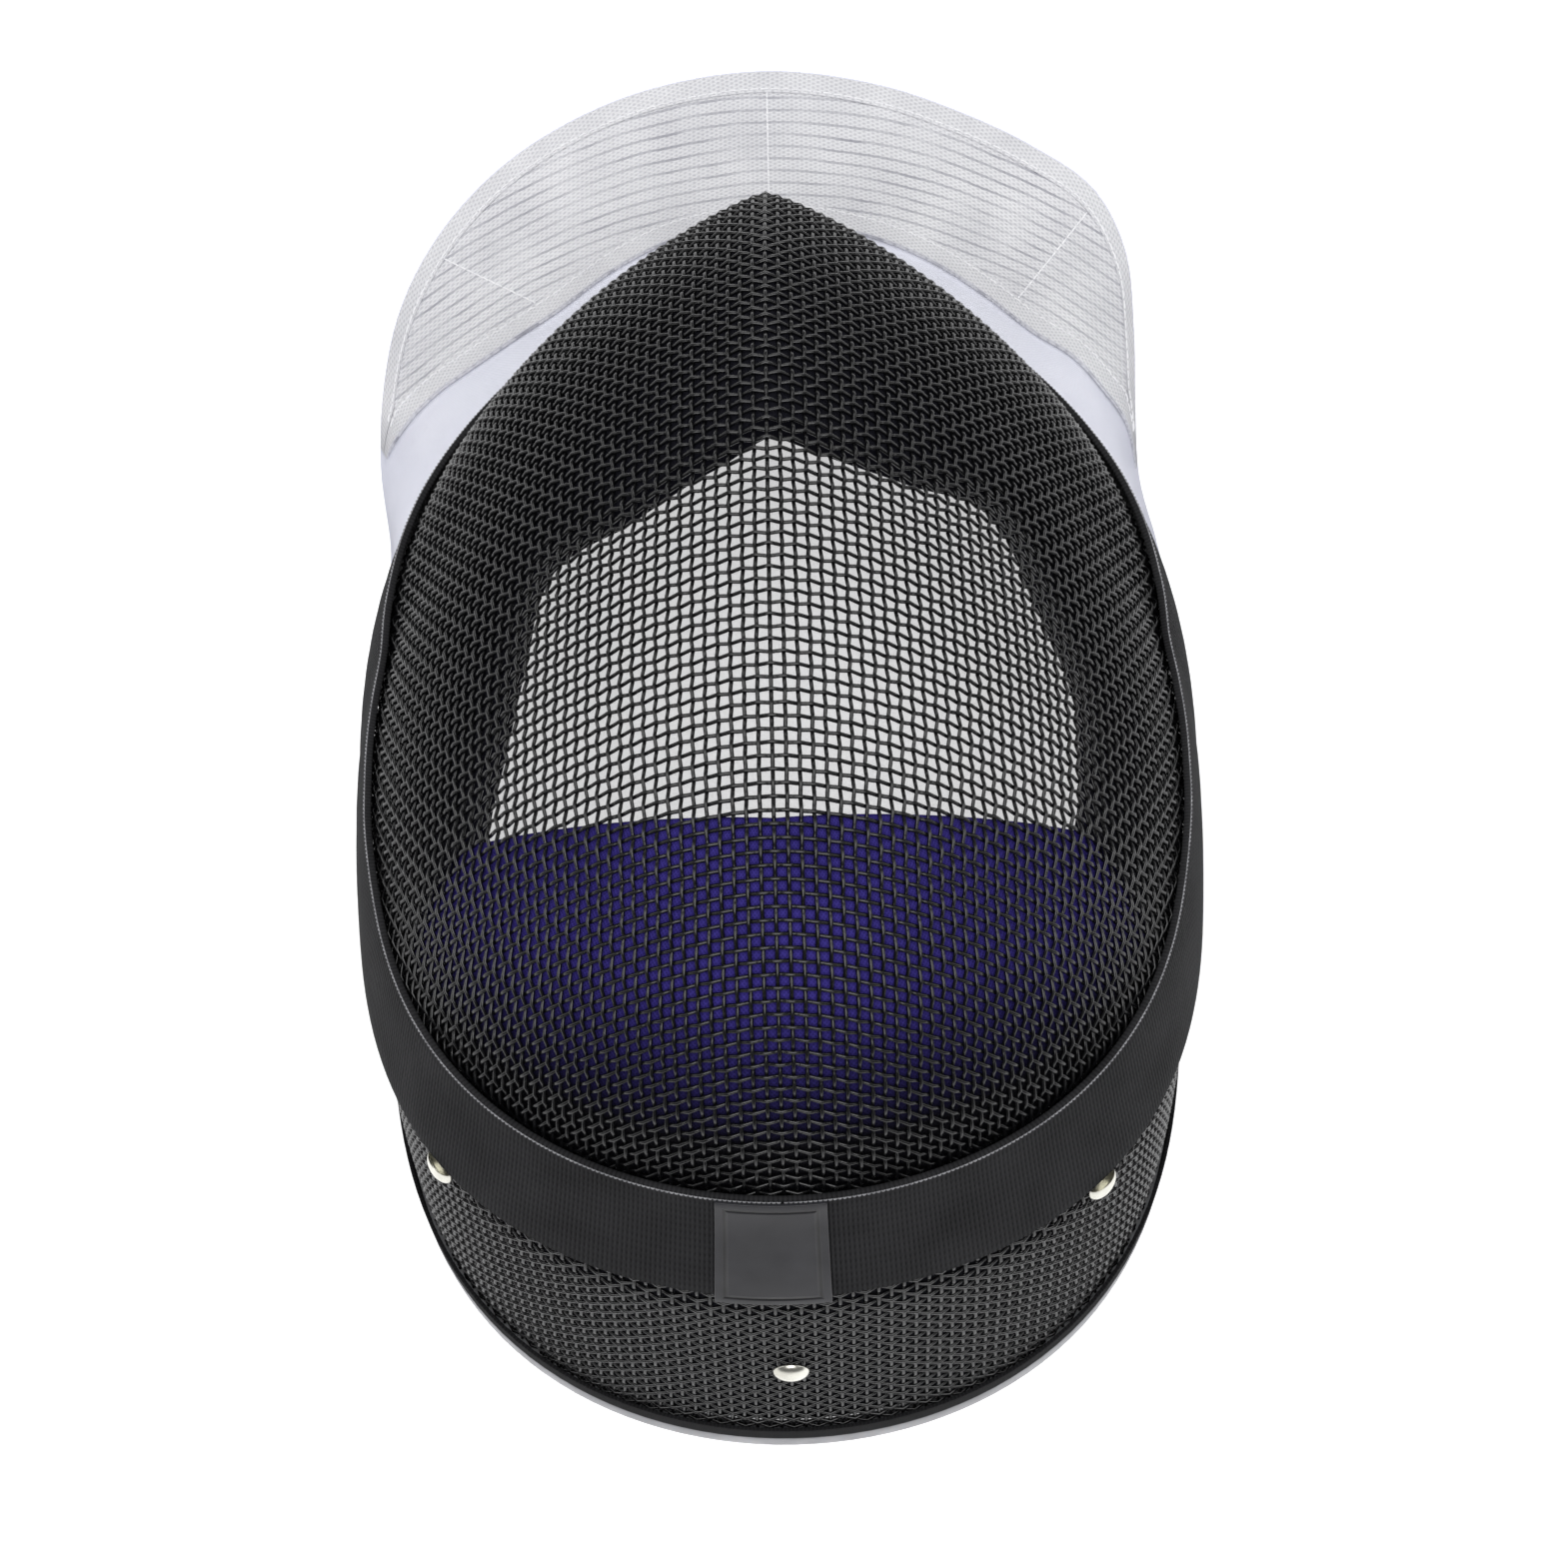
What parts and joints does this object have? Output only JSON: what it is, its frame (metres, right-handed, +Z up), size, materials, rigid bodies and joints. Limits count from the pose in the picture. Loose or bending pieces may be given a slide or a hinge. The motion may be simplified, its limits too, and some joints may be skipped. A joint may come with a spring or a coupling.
{
  "type": "fencing mask",
  "caption": "Fencing mask lying on its rear rim: woven wire face and crown joined under a cloth band, pads inside the face and crown, and a cloth bib spreading from the jaw.",
  "frame": {"origin": "middle of the outline, on the floor that the rear rim lies on", "axes": "+Z up through the face from the rear rim, +Y from the crown to the chin and bib, +X to the right of the picture"},
  "size_m": [0.2064, 0.3664, 0.189],
  "materials": {
    "wire": "black enamelled woven wire",
    "knit_tape": "black knitted elastic tape",
    "vinyl_patch": "dark grey vinyl, bare",
    "nickel": "nickel-plated domed head",
    "rim_edging": "grey edging",
    "black_tape": "black binding tape",
    "navy_cloth": "navy padded cloth",
    "black_cloth": "black padded cloth",
    "white_cloth": "white woven cotton",
    "lame_cloth": "light grey conductive cloth"
  },
  "bodies": {
    "root": {"face_mesh": "wire", "crown_mesh": "wire", "trim_band": "knit_tape", "label_patch": "vinyl_patch", "rivet_centre": "nickel", "rivet_left": "nickel", "rivet_right": "nickel", "rear_rim": "rim_edging", "rim_tape": "black_tape", "forehead_pad": "navy_cloth", "chin_pad": "black_cloth", "crown_pad": "black_cloth", "bib": "white_cloth", "bib_lame": "lame_cloth"}
  },
  "joints": []
}
